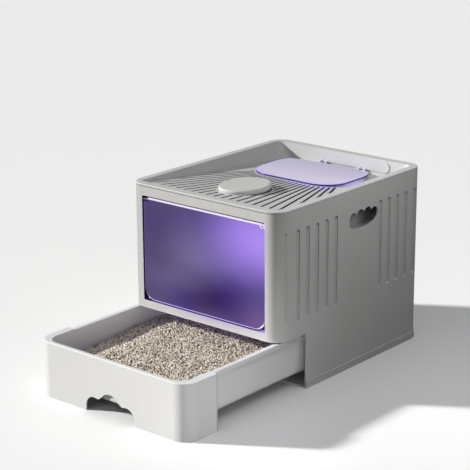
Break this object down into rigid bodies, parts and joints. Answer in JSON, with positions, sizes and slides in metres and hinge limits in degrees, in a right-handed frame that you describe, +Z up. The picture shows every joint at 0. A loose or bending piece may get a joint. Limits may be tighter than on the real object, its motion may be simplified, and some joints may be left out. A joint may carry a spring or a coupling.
{
  "type": "enclosed cat litter box",
  "caption": "Enclosed cat litter box with a pull-out litter drawer, a swing door in front, and a slotted top tray with a hinged exit lid and a lamp module.",
  "frame": {"origin": "middle of the housing at the flat underside of the base plate", "axes": "+X to the object's right seen from the front, +Y to the rear, +Z up; the drawer pulls out along -Y"},
  "size_m": [0.4146, 0.7943, 0.398],
  "materials": {
    "panel_grey": "fine satin moulding",
    "tray_grey": "fine satin moulding",
    "drawer_white": "smooth white moulding",
    "litter": "loose granules",
    "door_tint": "frosted translucent sheet",
    "lid_tint": "frosted translucent sheet",
    "hinge_light": "smooth pale moulding",
    "cap_grey": "satin moulding",
    "lens_clear": "clear moulding",
    "board_green": "circuit board",
    "chip_white": "lamp chips",
    "battery_wrap": "shrink sleeve",
    "steel": "plain steel"
  },
  "bodies": {
    "housing": {"base_plate": "panel_grey", "side_panel_left": "panel_grey", "side_panel_right": "panel_grey", "rear_panel": "panel_grey", "front_frame": "panel_grey", "top_tray": "tray_grey", "handle_cup_left": "panel_grey", "handle_cup_right": "panel_grey", "drawer_rail_left": "panel_grey", "drawer_rail_right": "panel_grey", "lid_hinge_plate": "hinge_light", "door_pivot_pins": "steel", "lid_hinge_pins": "steel", "base_screws": "steel", "rail_screws": "steel"},
    "drawer": {"drawer_tray": "drawer_white", "drawer_front": "drawer_white", "litter_bed": "litter", "drawer_front_screws": "steel"},
    "door": {"front_door": "door_tint"},
    "lid": {"exit_lid": "lid_tint"},
    "lamp_module": {"lamp_cap": "cap_grey", "lamp_housing": "cap_grey", "lamp_lens": "lens_clear", "lamp_board": "board_green", "lamp_chips": "chip_white", "lamp_battery": "battery_wrap", "charging_socket": "steel"}
  },
  "joints": [
    {"name": "drawer_slide", "type": "slide", "parent": "housing", "child": "drawer", "axis": [0, -1, 0], "range_m": [-0.282, 0.06]},
    {"name": "door_swing", "type": "hinge", "parent": "housing", "child": "door", "pos_m": [0, -0.2505, 0.364], "axis": [1, 0, 0], "range_deg": [-70, 70]},
    {"name": "lid_hinge", "type": "hinge", "parent": "housing", "child": "lid", "pos_m": [0, 0.2285, 0.366], "axis": [-1, 0, 0], "range_deg": [0, 78]},
    {"name": "lamp_module_lift", "type": "slide", "parent": "housing", "child": "lamp_module", "axis": [0, 0, 1], "range_m": [0, 0.05]}
  ]
}
